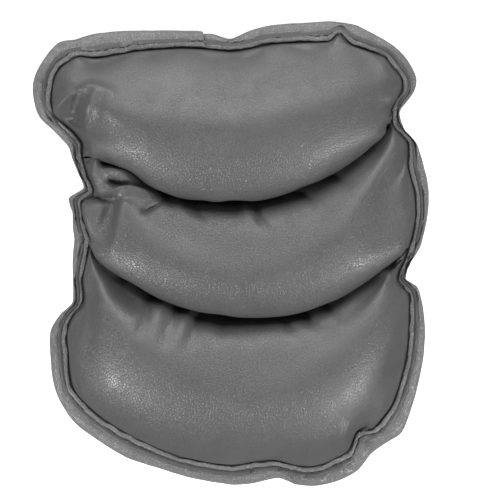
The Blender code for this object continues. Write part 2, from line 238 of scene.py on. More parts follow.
def tape_lines():
    """The tape's outer fold and the end of its upper leaf, clockwise from the tape's joint."""
    points, pairs = corner_points("edge_tape")
    levels = np.unique(np.round(points[:, 2] / (0.05 * MM)).astype(int))[::-1] * 0.05 * MM
    low, high = points[:, 2].min(), points[:, 2].max()
    at = [np.abs(points[:, 2] - z) < 0.06 * MM for z in (high, levels[1], (low + high) / 2)]
    under = {plan_key(p) for p in points[at[1]]}
    ends = [k for k in np.flatnonzero(at[0]) if plan_key(points[k]) in under]
    lines = [points[walk(chosen, pairs)][:, :2] for chosen in (np.flatnonzero(at[2]), ends)]
    for k, line in enumerate(lines):
        x, y = line[:, 0], line[:, 1]
        if (x * np.roll(y, -1) - y * np.roll(x, -1)).sum() > 0:
            lines[k] = line[::-1]
    return lines


def channel_line(node, inner):
    """A channel from left to right and where its ends meet the end of the tape's leaf."""
    points, _ = corner_points(node)
    keys = np.round(points[:, :2] / (0.02 * MM)).astype(int)
    _, first, count = np.unique(keys, axis=0, return_index=True, return_counts=True)
    line = points[first[count == 2], :2]
    line = line[np.argsort(line[:, 0])]
    reach = 0.03 * run_length(line)[-1]
    ends = []
    for end, before in ((0, 1), (-1, -2)):
        ahead = line[end] + unit(line[end] - line[before]) * reach
        ends.append(int(np.argmin(np.linalg.norm(inner - ahead, axis=1))))
    return np.concatenate([inner[ends[:1]], line, inner[ends[1:]]]), ends


OUTER, INNER = tape_lines()
UPPER_CHANNEL, (UPPER_LEFT, UPPER_RIGHT) = channel_line("upper_channel_thread", INNER)
LOWER_CHANNEL, (LOWER_LEFT, LOWER_RIGHT) = channel_line("lower_channel_thread", INNER)
LAST = len(INNER) - 1


# ---------------------------------------------------------------- meshes


def new_object(name, vertices, faces, slot, material, *nodes):
    mesh = bpy.data.meshes.new(name)
    mesh.from_pydata([tuple(map(float, v)) for v in vertices], [], faces)
    mesh.validate()
    made = bmesh.new()
    made.from_mesh(mesh)
    bmesh.ops.recalc_face_normals(made, faces=made.faces)
    made.to_mesh(mesh)
    made.free()
    mesh.shade_smooth()
    obj = bpy.data.objects.new(name, mesh)
    bpy.context.collection.objects.link(obj)
    obj.data.materials.append(material)
    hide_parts(*nodes)
    return obj


def grid_faces(rows, columns, closed_columns=False):
    faces = []
    for i in range(rows - 1):
        row, above = i * columns, (i + 1) * columns
        for j in range(columns if closed_columns else columns - 1):
            j2 = (j + 1) % columns
            faces.append((row + j, row + j2, above + j2, above + j))
    return faces


# ---------------------------------------------------------------- covers


def eased(count, share):
    """Shares from 0 to 1 that crowd towards both ends."""
    f = np.linspace(0, 1, count)
    return (1 - share) * f + share * (1 - np.cos(math.pi * f)) / 2


def along(line, shares):
    run = run_length(line)
    return at_index(line, np.interp(shares * run[-1], run, np.arange(len(line))))


def distance_to(points, line):
    """Distance of plan points to a line, and the unit direction away from it."""
    a, b = line[:-1], line[1:]
    ab = b - a
    flat = points.reshape(-1, 2)
    t = ((flat[:, None] - a) * ab).sum(-1) / (ab**2).sum(-1)
    foot = a + np.clip(t, 0, 1)[..., None] * ab
    gap = flat[:, None] - foot
    size = np.linalg.norm(gap, axis=-1)
    best = size.argmin(1)
    pick = np.arange(len(flat))
    shape = points.shape[:-1]
    return size[pick, best].reshape(shape), unit(gap[pick, best]).reshape(*shape, 2)


def coons(bottom, top, left, right, us, vs):
    """Grid of plan points over four sides: bottom and top left to right, sides upwards."""
    u, v = us[None, :, None], vs[:, None, None]
    flat = (1 - v) * bottom[None] + v * top[None]
    upright = (1 - u) * left[:, None] + u * right[:, None]
    corners = ((1 - u) * (1 - v) * bottom[0] + u * (1 - v) * bottom[-1]
               + (1 - u) * v * top[0] + u * v * top[-1])
    return flat + upright - corners


def soft_distance(points, lines, pulls):
    """Smooth distance to a set of lines: no creases where two lines are equally near."""
    total = np.zeros(points.shape[:2])
    for line, pull in zip(lines, pulls):
        middles = (line[1:] + line[:-1]) / 2
        lengths = np.linalg.norm(np.diff(line, axis=0), axis=1)
        gaps = ((points[:, :, None] - middles) ** 2).sum(-1) + (0.3 * MM) ** 2
        total += pull * (lengths / gaps ** 1.5).sum(-1)
    return np.sqrt(2 / total)


def ends_faded(plan, line, reach):
    """1 along most of a line, less near its two ends, for each plan point."""
    ends = np.linalg.norm(plan[:, :, None] - line[[0, -1]], axis=-1).min(axis=-1)
    return 0.15 + 0.85 * smoothstep(ends / reach)


def finely(line):
    return along(line, np.linspace(0, 1, FINE_POINTS))


class Lobe:
    """One stuffed lobe: a cover grid over its plan, whose sides are channels or tape."""

    def __init__(self, name, bottom, top, left, right):
        """Each side is a channel's line, or the first and last index on the tape's inner line."""
        self.name = name
        self.us, self.vs = eased(COLUMNS, COLUMN_EASING), eased(ROWS, ROW_EASING)
        self.index = {}
        sides = []
        for key, side, shares in (("bottom", bottom, self.us), ("top", top, self.us),
                                  ("left", left, self.vs), ("right", right, self.vs)):
            if isinstance(side, tuple):
                self.index[key] = spread(RIM, side[0], side[1], shares)
                sides.append(at_index(RIM, self.index[key]))
            else:
                sides.append(along(side, shares))
        self.plan = coons(*sides, self.us, self.vs)
        self.rims = [at_index(RIM, ix) for ix in self.index.values()]
        self.channels = {k: s for k, s in (("bottom", bottom), ("top", top))
                         if not isinstance(s, tuple)}

    def shaped(self):
        """The cover's grid of points before the filling swells it."""
        plan, size = self.plan, LOBE_TOPS[self.name] - RIM_HEIGHT
        lines = [finely(rim) for rim in self.rims]
        near = [distance_to(plan, line)[0] for line in lines]
        steepness = [RIM_STEEPNESS] * len(lines)
        pulls = [RIM_PULL] * len(lines)
        base = np.full(plan.shape[:2], RIM_HEIGHT)
        rise = np.ones(plan.shape[:2])
        lean = np.zeros(plan.shape)
        for key, line in self.channels.items():
            gap, away = distance_to(plan, line)
            base = np.minimum(base, SEAM_HEIGHT + gap * 0.4)
            near.append(gap)
            if key == "bottom":
                lines.append(finely(line))
                shove = smoothstep(gap / (2 * MM)) * np.exp(-(gap / (16 * MM)) ** 2)
                inside = smoothstep(np.minimum.reduce(near[:-1]) / (12 * MM))
                lean = away * (OVERHANG * shove * inside)[..., None]
                steepness.append(HANGING_STEEPNESS)
                pulls.append(HANGING_PULL)
            else:
                groove = GROOVE * ends_faded(plan, line, GROOVE_FADE)
                lines.append(finely(line) + np.array([0, -0.7]) * GROOVE)
                steepness.append(GROOVE_STEEPNESS)
                pulls.append(GROOVE_PULL)
                rise = smoothstep((gap - 0.5 * groove) / (0.7 * groove + 0.5 * MM))
        weights = [1 / (n + MM) ** 2 for n in near]
        power = sum(w * s for w, s in zip(weights, steepness)) / sum(weights)
        share = soft_distance(plan, lines, pulls)
        share = share / share.max()
        height = base + size * rise * (1 - (1 - share) ** ROUNDNESS) ** power
        return np.concatenate([plan - lean, height[..., None]], axis=2)

    def flange(self, grid):
        """Rows of points that carry the cover's tape sides in under the tape's leaf."""
        strips = []
        for key, line in (("bottom", grid[0]), ("top", grid[-1]),
                          ("left", grid[:, 0]), ("right", grid[:, -1])):
            if key in self.index:
                ix = self.index[key]
                outward = (at_index(RIM_OUTER, ix) - at_index(RIM, ix)) * FLANGE
                far = np.concatenate([line[:, :2] + outward, line[:, 2:] - 0.3 * MM], axis=1)
                strips.append((key, far))
        return strips


# The tape's lines twice round, so that a lobe's side may run across the tape's joint
RIM = np.concatenate([INNER[:-1], INNER[:-1]])
RIM_OUTER = np.concatenate([OUTER[:-1], OUTER[:-1]])


def beside(line, shift):
    """A channel's line moved a little sideways, its ends kept."""
    run = run_length(line)
    side = unit(np.gradient(line, axis=0)) @ np.array([[0, 1], [-1, 0]])
    ends = smoothstep(np.minimum(run, run[-1] - run) / (6 * MM))
    return line + side * (shift * ends)[:, None]


def make_lobes():
    high, low = SIDE_STATIONS["upper"], SIDE_STATIONS["lower"]
    gap = 0.3 * MM
    upper = Lobe("upper", beside(UPPER_CHANNEL, gap),
                 (UPPER_LEFT + high, LAST + UPPER_RIGHT - high), (UPPER_LEFT, UPPER_LEFT + high),
                 (LAST + UPPER_RIGHT, LAST + UPPER_RIGHT - high))
    middle = Lobe("middle", beside(LOWER_CHANNEL, gap), beside(UPPER_CHANNEL, -gap),
                  (LOWER_LEFT, UPPER_LEFT), (LOWER_RIGHT, UPPER_RIGHT))
    lower = Lobe("lower", (LOWER_LEFT - low, LOWER_RIGHT + low), beside(LOWER_CHANNEL, -gap),
                 (LOWER_LEFT - low, LOWER_LEFT), (LOWER_RIGHT + low, LOWER_RIGHT))
    return [upper, middle, lower]


def grid_edges(rows, columns):
    """Vertex numbers along a grid's four sides."""
    return {"bottom": list(range(columns)),
            "top": [(rows - 1) * columns + j for j in range(columns)],
            "left": [i * columns for i in range(rows)],
            "right": [i * columns + columns - 1 for i in range(rows)]}


def cover_object(lobe, material):
    """A cover's sheet with the flange that goes in under the tape, and its fixed vertices."""
    grid = lobe.shaped()
    rows, columns = grid.shape[:2]
    vertices = list(grid.reshape(-1, 3))
    faces = grid_faces(rows, columns)
    edges = grid_edges(rows, columns)
    fixed = {v for side in edges.values() for v in side}
    corners = {}
    for key, far in lobe.flange(grid):
        ids = []
        for place, point in zip(edges[key], far):
            shared = corners.get(place)
            ids.append(len(vertices) if shared is None else shared)
            if shared is None:
                vertices.append(point)
                corners[place] = ids[-1]
        for k in range(len(ids) - 1):
            faces.append((edges[key][k], edges[key][k + 1], ids[k + 1], ids[k]))
        fixed.update(ids)
    obj = new_object(lobe.name + "_lobe_cover", vertices, faces, "cover_leatherette", material,
                     lobe.name + "_cover")
    return obj, sorted(fixed)


def coordinates(mesh):
    places = np.empty(len(mesh.vertices) * 3)
    mesh.vertices.foreach_get("co", places)
    return places.reshape(-1, 3)


def put_coordinates(mesh, places):
    mesh.vertices.foreach_set("co", places.reshape(-1))
    mesh.update()


def keep_result(obj):
    """Replaces an object's mesh by what its modifiers make of it."""
    graph = bpy.context.evaluated_depsgraph_get()
    graph.update()
    result = bpy.data.meshes.new_from_object(obj.evaluated_get(graph))
    obj.modifiers.clear()
    obj.data = result


def swell(obj, fixed):
    """Lets the filling push the cover out, its sewn edges held, then keeps the result."""
    start = coordinates(obj.data)
    group = obj.vertex_groups.new(name="sewn")
    group.add(fixed, 1.0, "REPLACE")
    cloth = obj.modifiers.new("cloth", "CLOTH")
    settings = cloth.settings
    settings.quality = 6
    settings.mass = 0.3
    settings.tension_stiffness = 25
    settings.compression_stiffness = 25
    settings.shear_stiffness = 8
    settings.bending_stiffness = 4.0
    settings.vertex_group_mass = "sewn"
    settings.shrink_min = -0.02
    settings.use_pressure = True
    settings.uniform_pressure_force = 4.0
    settings.effector_weights.gravity = 0.0
    cloth.collision_settings.use_collision = False
    cloth.point_cache.frame_start = 1
    cloth.point_cache.frame_end = SWELLING_FRAMES
    for number in range(1, SWELLING_FRAMES + 1):
        bpy.context.scene.frame_set(number)
    keep_result(obj)
    bpy.context.scene.frame_set(1)
    moved = coordinates(obj.data) - start
    size = np.linalg.norm(moved, axis=1, keepdims=True)
    moved *= np.minimum(1, SWELLING_LIMIT / np.maximum(size, 1e-9))
    put_coordinates(obj.data, start + moved)


def relax(obj, rows, columns, passes):
    """Evens out a cover's grid, its middle more than its sides."""
    places = coordinates(obj.data)
    grid = places[:rows * columns].reshape(rows, columns, 3)
    i, j = np.mgrid[1:rows - 1, 1:columns - 1]
    inward = np.minimum(np.minimum(i, rows - 1 - i), np.minimum(j, columns - 1 - j))
    first, later = np.ones(inward.shape), smoothstep((inward - RELAX_MARGIN) / RELAX_FADE)
    for number in range(passes):
        weight = (first if number < FIRST_PASSES else later)[..., None] * 0.5
        around = grid[:-2, 1:-1] + grid[2:, 1:-1] + grid[1:-1, :-2] + grid[1:-1, 2:]
        grid[1:-1, 1:-1] = (1 - weight) * grid[1:-1, 1:-1] + weight * 0.25 * around
    put_coordinates(obj.data, places)


def tuck(obj, rims):
    """Draws a cover down beside the tape, so that it comes up out of a narrow gap."""
    places = coordinates(obj.data)
    gap = np.minimum.reduce([distance_to(places[:, :2], finely(rim))[0] for rim in rims])
    free = places[:, 2] > RIM_HEIGHT + 0.02 * MM
    out = smoothstep((gap - TUCK_WIDTH) / (2.4 * TUCK_WIDTH))
    lifted = RIM_HEIGHT + (places[:, 2] - RIM_HEIGHT + TUCK_RISE) * out
    places[:, 2] = np.where(free, lifted, places[:, 2])
    put_coordinates(obj.data, places)


def subdivide(obj, levels):
    finer = obj.modifiers.new("finer", "SUBSURF")
    finer.levels = levels
    finer.render_levels = levels
    keep_result(obj)


def stroke_strength(plan, path, width, sharpness):
    """A fold's share of its full height: 1 on its line, 0 at its far end and off its sides."""
    gap, _ = distance_to(plan, path)
    nearest = np.linalg.norm(plan[:, None] - path[None], axis=2).argmin(axis=1)
    share = nearest / (len(path) - 1)
    taper = smoothstep((1 - share) / END_TAPER) * smoothstep((share + START_LEAD) / START_TAPER)
    tail = math.exp(-FOLD_REACH ** sharpness)
    shape = (np.exp(-(gap / width) ** sharpness) - tail).clip(0) / (1 - tail)
    return taper * shape


def fold(obj, strokes):
    """Works ridges (height above 0) and valleys into a cover along lines on its plan."""
    places = coordinates(obj.data)
    from_rim = np.full(len(places), 1.0)
    low = places[:, 2] < RIM_HEIGHT + RIM_HOLD_HEIGHT
    from_rim[low] = distance_to(places[low, :2], INNER)[0]
    sewn = places[:, 2] < RIM_HEIGHT + 0.2 * MM
    held = np.where(sewn, 0.0, 0.2 + 0.8 * smoothstep(from_rim / RIM_HOLD))
    for path_mm, height_mm, width_mm, sharpness in strokes:
        normals = np.empty(len(places) * 3)
        obj.data.vertex_normals.foreach_get("vector", normals)
        steps = np.linspace(0, len(path_mm) - 1, FOLD_POINTS)
        path, width = at_index(np.array(path_mm) * MM, steps), width_mm * MM
        least, most = path.min(0) - FOLD_REACH * width, path.max(0) + FOLD_REACH * width
        inside = (places[:, :2] > least) & (places[:, :2] < most)
        near = np.flatnonzero(inside.all(axis=1))
        push = normals.reshape(-1, 3)[near]
        if height_mm < 0:
            push = unit(push * VALLEY_LEAN + np.array([0, 0, 1.0]))
        strength = stroke_strength(places[near, :2], path, width, sharpness)
        places[near] += push * (height_mm * MM * strength * held[near])[:, None]
        low = ~sewn & (places[:, 2] < FOLD_FLOOR)
        places[low, 2] = FOLD_FLOOR
        put_coordinates(obj.data, places)


def thicken(obj, thickness):
    solid = obj.modifiers.new("thickness", "SOLIDIFY")
    solid.thickness = thickness
    solid.offset = -1
    keep_result(obj)


def filling_object(lobe, cover, material):
    """Loose fibre: the cover's own arches shrunk about the middle of each column's foot."""
    rows, columns = lobe.plan.shape[:2]
    grid = coordinates(cover.data)[:rows * columns].reshape(rows, columns, 3)
    grid = grid[::FILLING_STRIDE, ::FILLING_STRIDE]
    rows, columns = grid.shape[:2]
    foot = (grid[:1] + grid[-1:]) / 2
    reach = np.linalg.norm(grid - foot, axis=2, keepdims=True)
    kept = 1 - CLEARANCE * SIDE_CLEARANCE / np.maximum(reach, 1e-6)
    shrunk = foot + (grid - foot) * np.clip(kept, FILLING_LEAST, 1)
    middle = shrunk.mean(axis=(0, 1))
    shrunk = middle + (shrunk - middle) * np.array(FILLING_SCALE)
    shrunk[..., 2] = np.maximum(shrunk[..., 2] - CLEARANCE, BASE_THICKNESS + FILLING_RIM)
    floor = shrunk.copy()
    floor[..., 2] = BASE_THICKNESS + FILLING_FLOOR
    vertices = np.concatenate([shrunk.reshape(-1, 3), floor.reshape(-1, 3)])
    count = rows * columns
    faces = grid_faces(rows, columns)
    faces += [tuple(v + count for v in face[::-1]) for face in faces]
    edges = grid_edges(rows, columns)
    for side in edges.values():
        faces += [(a, b, b + count, a + count) for a, b in zip(side, side[1:])]
    return new_object(lobe.name + "_fibre", vertices, faces, "fibre_filling", material,
                      lobe.name + "_filling")


# ---------------------------------------------------------------- listed folds
# Each is (line on the plan in mm, height in mm, half width in mm, roundness of its profile)

UPPER_FOLDS = [
    ([(-116, 86), (-110, 92), (-104, 97), (-96, 102), (-88, 105), (-79, 103), (-68, 94),
      (-58, 84)], 4.4, 3.6, 1.6),
    ([(-97, 100), (-100, 92), (-99, 83), (-96, 72)], -6.0, 5.5, 2.0),
    ([(-84, 102), (-88, 93), (-91, 84), (-92, 72)], 2.6, 3.4, 1.8),
    ([(-76, 99), (-76, 88), (-78, 76)], 1.8, 6.0, 2.0),
    ([(103, 82), (99, 79), (94, 74)], -4.0, 3.0, 1.6),
    ([(112, 109), (103, 107), (95, 104)], -1.6, 2.2, 1.4),
    ([(110, 93), (102, 92), (93, 90)], -2.6, 2.6, 1.4),
    ([(108, 99), (100, 99), (93, 98)], 1.6, 2.6, 1.4),
]
MIDDLE_FOLDS = [
    ([(-86, 62), (-85, 50), (-84, 34)], 5.0, 2.4, 1.5),
    ([(-94, 56), (-92, 46), (-88, 38)], -3.5, 2.6, 1.5),
    ([(-97, 42), (-88, 36.5), (-78, 34.5), (-68, 35)], -9.0, 2.4, 1.3),
    ([(-80, 52), (-68, 50), (-56, 44)], 4.5, 3.0, 1.6),
    ([(-76, 46), (-66, 43), (-54, 41)], -6.0, 2.4, 1.4),
    ([(-75, 39), (-62, 40), (-52, 38), (-42, 35)], 4.5, 2.6, 1.3),
    ([(-54, 27), (-47, 31), (-40, 35.5)], -4.0, 1.6, 1.2),
    ([(-74, 34), (-77, 24), (-82, 12), (-88, -2)], -6.5, 7.0, 2.2),
    ([(-67, 31), (-69, 20), (-73, 6), (-79, -6)], 2.8, 3.0, 1.8),
    ([(-94, 30), (-90, 20), (-86, 8)], 2.5, 3.6, 1.8),
    ([(16, 31), (20, 20), (27, 11)], -3.0, 2.8, 1.4),
    ([(9, 31), (13, 22), (18, 15)], 1.6, 3.0, 1.5),
    ([(-24, 31), (-18, 24), (-12, 20)], -1.8, 2.6, 1.4),
    ([(-36, 34), (-30, 27), (-26, 22)], 1.4, 3.0, 1.6),
    ([(44, 40), (50, 36), (58, 33)], -2.2, 2.6, 1.4),
    ([(66, 52), (72, 46), (80, 43)], -1.4, 3.0, 1.6),
]
LOWER_FOLDS = [
    ([(-60, -30), (-72, -20), (-84, -9), (-93, 4)], -7.0, 6.5, 2.0),
    ([(-88, -16), (-88, -34), (-89, -56), (-92, -80)], -2.6, 4.5, 2.0),
    ([(-82, -14), (-80, -28), (-78, -48)], 1.8, 5.0, 2.0),
    ([(-52, -30), (-54, -42), (-60, -56)], -3.0, 3.4, 1.8),
    ([(-44, -33), (-46, -44), (-51, -60)], 1.2, 3.8, 1.9),
    ([(-35, -36), (-39, -48), (-44, -64)], -1.4, 3.4, 1.9),
    ([(-27, -38), (-31, -50), (-37, -68)], 1.8, 3.8, 1.9),
    ([(-20, -39), (-23, -50), (-28, -66)], -2.2, 3.2, 1.8),
    ([(-4, -41), (-5, -50), (-7, -60)], -1.2, 3.0, 1.8),
    ([(33, -40), (38, -47), (44, -56)], -2.4, 3.0, 1.8),
    ([(45, -37), (52, -44), (60, -53)], -3.0, 3.2, 1.8),
    ([(60, -30), (66, -38), (72, -48)], -1.6, 3.4, 1.8),
    ([(104, -4), (106, -10), (108, -17)], -2.4, 2.6, 1.5),
    ([(98, -8), (101, -16), (103, -26)], 1.6, 3.4, 1.8),
    ([(80, -127), (83, -117), (88, -112), (96, -110)], -6.0, 3.6, 1.6),
    ([(70, -120), (73, -110), (80, -103)], 2.0, 4.5, 2.0),
]
FOLDS = {"upper": UPPER_FOLDS, "middle": MIDDLE_FOLDS, "lower": LOWER_FOLDS}


def make_stuffed_lobe(lobe, leather, fibre):
    cover, fixed = cover_object(lobe, leather)
    swell(cover, fixed)
    relax(cover, ROWS, COLUMNS, RELAX_PASSES)
    tuck(cover, lobe.rims)
    unfolded = coordinates(cover.data)
    fold(cover, FOLDS[lobe.name])
    filling = filling_object(lobe, cover, fibre)
    put_coordinates(cover.data, unfolded)
    subdivide(cover, 1)
    fold(cover, FOLDS[lobe.name])
    thicken(cover, COVER_THICKNESS)
    cover.data.shade_smooth()
    return [cover, filling]


# ---------------------------------------------------------------- backing sheet


def make_base(material):
    high, low = SIDE_STATIONS["upper"], SIDE_STATIONS["lower"]
    us, vs = np.linspace(0, 1, BASE_COLUMNS), np.linspace(0, 1, BASE_ROWS)
    stretches = (((LOWER_LEFT - low, LOWER_RIGHT + low), us),
                 ((UPPER_LEFT + high, LAST + UPPER_RIGHT - high), us),
                 ((LOWER_LEFT - low, UPPER_LEFT + high), vs),
                 ((LOWER_RIGHT + low, UPPER_RIGHT - high), vs))
    sides = []
    for (first, last), shares in stretches:
        index = spread(RIM, first, last, shares)
        edge, fold_line = at_index(RIM, index), at_index(RIM_OUTER, index)
        sides.append(edge + (fold_line - edge) * FLANGE)
    plan = coons(*sides, us, vs)
    gap, _ = distance_to(plan, INNER)
    lift = BASE_RIM_LIFT * (1 - smoothstep(gap / BASE_LIFT_REACH))
    over = np.concatenate([plan, (lift + BASE_THICKNESS)[..., None]], axis=2)
    under = np.concatenate([plan, lift[..., None]], axis=2)
    rows, columns = plan.shape[:2]
    count = rows * columns
    faces = grid_faces(rows, columns)
    faces += [tuple(v + count for v in face[::-1]) for face in faces]
    for side in grid_edges(rows, columns).values():
        faces += [(a, b, b + count, a + count) for a, b in zip(side, side[1:])]
    vertices = np.concatenate([over.reshape(-1, 3), under.reshape(-1, 3)])
    return new_object("backing_sheet", vertices, faces, "backing_cloth", material, "base_cover")


# ---------------------------------------------------------------- stitches


def stitch_chain(name, line, heights, count, material, node):
    """A number of stitches end to end along a line, each dipping into its holes."""
    run = run_length(line)
    parts, faces = [], []
    sides, steps = THREAD_SIDES, THREAD_STEPS
    for k in range(count):
        shares = (k + np.linspace(STITCH_START, STITCH_END, steps)) / count
        index = np.interp(shares * run[-1], run, np.arange(len(line)))
        centre = at_index(line, index)
        level = np.interp(shares * run[-1], run, heights)
        arch = np.sin(np.linspace(0, math.pi, steps))
        radius = THREAD_RADIUS * (0.45 + 0.55 * arch ** 0.5)
        ahead = unit(np.gradient(centre, axis=0))
        side = np.stack([-ahead[:, 1], ahead[:, 0]], axis=1)
        start = k * steps * sides
        rings = np.empty((steps, sides, 3))
        for j in range(sides):
            angle = 2 * math.pi * j / sides
            rings[:, j, :2] = centre + side * (radius * math.cos(angle))[:, None]
            rings[:, j, 2] = level + (arch - 1) * STITCH_SINK_MM * MM + radius * math.sin(angle)
        parts.append(rings.reshape(-1, 3))
        faces += [tuple(v + start for v in face)
                  for face in grid_faces(steps, sides, closed_columns=True)]
        faces.append(tuple(start + j for j in range(sides))[::-1])
        faces.append(tuple(start + (steps - 1) * sides + j for j in range(sides)))
    return new_object(name, np.concatenate(parts), faces, "sewing_thread", material, node)


# ---------------------------------------------------------------- materials


class Nodes:
    """A material's node tree with short calls for adding and joining nodes."""

    def __init__(self, name):
        self.material = bpy.data.materials.new(name)
        self.material.use_nodes = True
        self.tree = self.material.node_tree
        self.shader = self.tree.nodes["Principled BSDF"]

    def add(self, kind, inputs=(), **settings):
        node = self.tree.nodes.new("ShaderNode" + kind)
        for key, value in settings.items():
            setattr(node, key, value)
        for key, value in dict(inputs).items():
            if isinstance(value, bpy.types.NodeSocket):
                self.tree.links.new(value, node.inputs[key])
            else:
                node.inputs[key].default_value = value
        return node

    def link(self, source, target):
        self.tree.links.new(source, target)

    def math(self, operation, a, b=0.0):
        return self.add("Math", {0: a, 1: b}, operation=operation).outputs[0]

    def ramp(self, value, stops):
        node = self.add("ValToRGB", {"Fac": value})
        node.color_ramp.elements[0].position = stops[0][0]
        node.color_ramp.elements[0].color = stops[0][1]
        node.color_ramp.elements[1].position = stops[-1][0]
        node.color_ramp.elements[1].color = stops[-1][1]
        return node.outputs["Color"]


def grey(value):
    return (value, value, value, 1.0)


def leather_material(name, tone, cell, relief, roughness, glint_speckle):
    """Pebble-grained leatherette: small raised cells with creases between them, soft mottling,
    painted shade darkening the creases and light specks of painted glint.
    """
    n = Nodes(name)
    place = n.add("TexCoord").outputs["Object"]
    bend = n.add("TexNoise", {"Vector": place, "Scale": 0.5 / cell, "Detail": 2.0})
    bent = n.add("VectorMath", {0: bend.outputs["Color"], 1: (0.9 * cell,) * 3},
                 operation="MULTIPLY").outputs[0]
    bent = n.add("VectorMath", {0: place, 1: bent}, operation="ADD").outputs[0]
    cells = n.add("TexVoronoi", {"Vector": bent, "Scale": 1 / cell}, feature="DISTANCE_TO_EDGE")
    pebble = n.math("POWER", n.math("MINIMUM", n.math("MULTIPLY", cells.outputs["Distance"], 5.5),
                                    1.0), 0.6)
    fine = n.add("TexNoise", {"Vector": place, "Scale": 1.6 / cell, "Detail": 3.0})
    wide = n.add("TexNoise", {"Vector": place, "Scale": 24.0, "Detail": 4.0})
    patches = n.add("TexNoise", {"Vector": place, "Scale": 90.0, "Detail": 2.0})
    height = n.math("ADD", pebble, n.math("MULTIPLY", fine.outputs["Fac"], 0.1))
    depth = n.math("ADD", n.math("MULTIPLY", patches.outputs["Fac"], 0.9), 0.55)
    bump = n.add("Bump", {"Strength": 1.0, "Distance": relief,
                          "Height": n.math("MULTIPLY", height, depth)})
    mottled = n.ramp(wide.outputs["Fac"], [(0.3, grey(tone * 0.94)), (0.7, grey(tone * 1.08))])
    # Painted shade: the creases between the grain's cells are darkened in the colour, towards 0.4 of
    # the tone.
    crease_shade = n.math("MULTIPLY", n.math("SUBTRACT", 1.0, pebble), 0.45)
    colour = n.add("MixRGB", {"Fac": crease_shade, "Color1": mottled, "Color2": grey(tone * 0.4)})
    # Painted glints: light specks, 2.4 times the tone, where the fine noise is high; their share is
    # set per material.
    painted_glints = n.math("MULTIPLY", n.math("GREATER_THAN", fine.outputs["Fac"], 0.62), glint_speckle)
    colour = n.add("MixRGB", {"Fac": painted_glints, "Color1": colour.outputs[0],
                              "Color2": grey(tone * 2.4)})
    rough = n.math("ADD", n.math("MULTIPLY", patches.outputs["Fac"], 0.16), roughness - 0.08)
    n.link(colour.outputs[0], n.shader.inputs["Base Color"])
    n.link(rough, n.shader.inputs["Roughness"])
    n.link(bump.outputs[0], n.shader.inputs["Normal"])
    n.shader.inputs["Specular IOR Level"].default_value = 0.8
    return n.material


def woven_material(name, tone, pitch):
    """Plain-woven backing cloth: two sets of crossing yarns."""
    n = Nodes(name)
    place = n.add("TexCoord").outputs["Object"]
    warp = n.add("TexWave", {"Vector": place, "Scale": 0.314 / pitch, "Distortion": 0.6},
                 bands_direction="X")
    weft = n.add("TexWave", {"Vector": place, "Scale": 0.314 / pitch, "Distortion": 0.6},
                 bands_direction="Y")
    weave = n.math("MULTIPLY", warp.outputs["Fac"], weft.outputs["Fac"])
    lint = n.add("TexNoise", {"Vector": place, "Scale": 300.0, "Detail": 5.0})
    height = n.math("ADD", weave, n.math("MULTIPLY", lint.outputs["Fac"], 0.4))
    bump = n.add("Bump", {"Strength": 0.8, "Distance": 0.0003, "Height": height})
    colour = n.ramp(height, [(0.1, grey(tone * 0.5)), (1.0, grey(tone * 1.7))])
    n.link(colour, n.shader.inputs["Base Color"])
    n.link(bump.outputs[0], n.shader.inputs["Normal"])
    n.shader.inputs["Roughness"].default_value = 0.85
    n.shader.inputs["Sheen Weight"].default_value = 0.2
    return n.material


def fibre_material(name):
    """Loose white polyester fibre."""
    n = Nodes(name)
    place = n.add("TexCoord").outputs["Object"]
    strands = n.add("TexNoise", {"Vector": place, "Scale": 160.0, "Detail": 8.0,
                                 "Distortion": 2.0})
    bump = n.add("Bump", {"Strength": 0.7, "Distance": 0.001, "Height": strands.outputs["Fac"]})
    colour = n.ramp(strands.outputs["Fac"],
                    [(0.2, (0.66, 0.65, 0.62, 1)), (0.8, (0.86, 0.85, 0.82, 1))])
    n.link(colour, n.shader.inputs["Base Color"])
    n.link(bump.outputs[0], n.shader.inputs["Normal"])
    n.shader.inputs["Roughness"].default_value = 0.9
    return n.material


def thread_material(name, tone):
    """Twisted thread: fine slanting bands."""
    n = Nodes(name)
    place = n.add("TexCoord").outputs["Object"]
    twist = n.add("TexWave", {"Vector": place, "Scale": 900.0, "Distortion": 1.5},
                  bands_direction="DIAGONAL")
    bump = n.add("Bump", {"Strength": 0.6, "Distance": 0.0001, "Height": twist.outputs["Fac"]})
    colour = n.ramp(twist.outputs["Fac"], [(0.0, grey(tone * 0.7)), (1.0, grey(tone * 1.25))])
    n.link(colour, n.shader.inputs["Base Color"])
    n.link(bump.outputs[0], n.shader.inputs["Normal"])
    n.shader.inputs["Roughness"].default_value = 0.7
    return n.material


# ---------------------------------------------------------------- edge tape


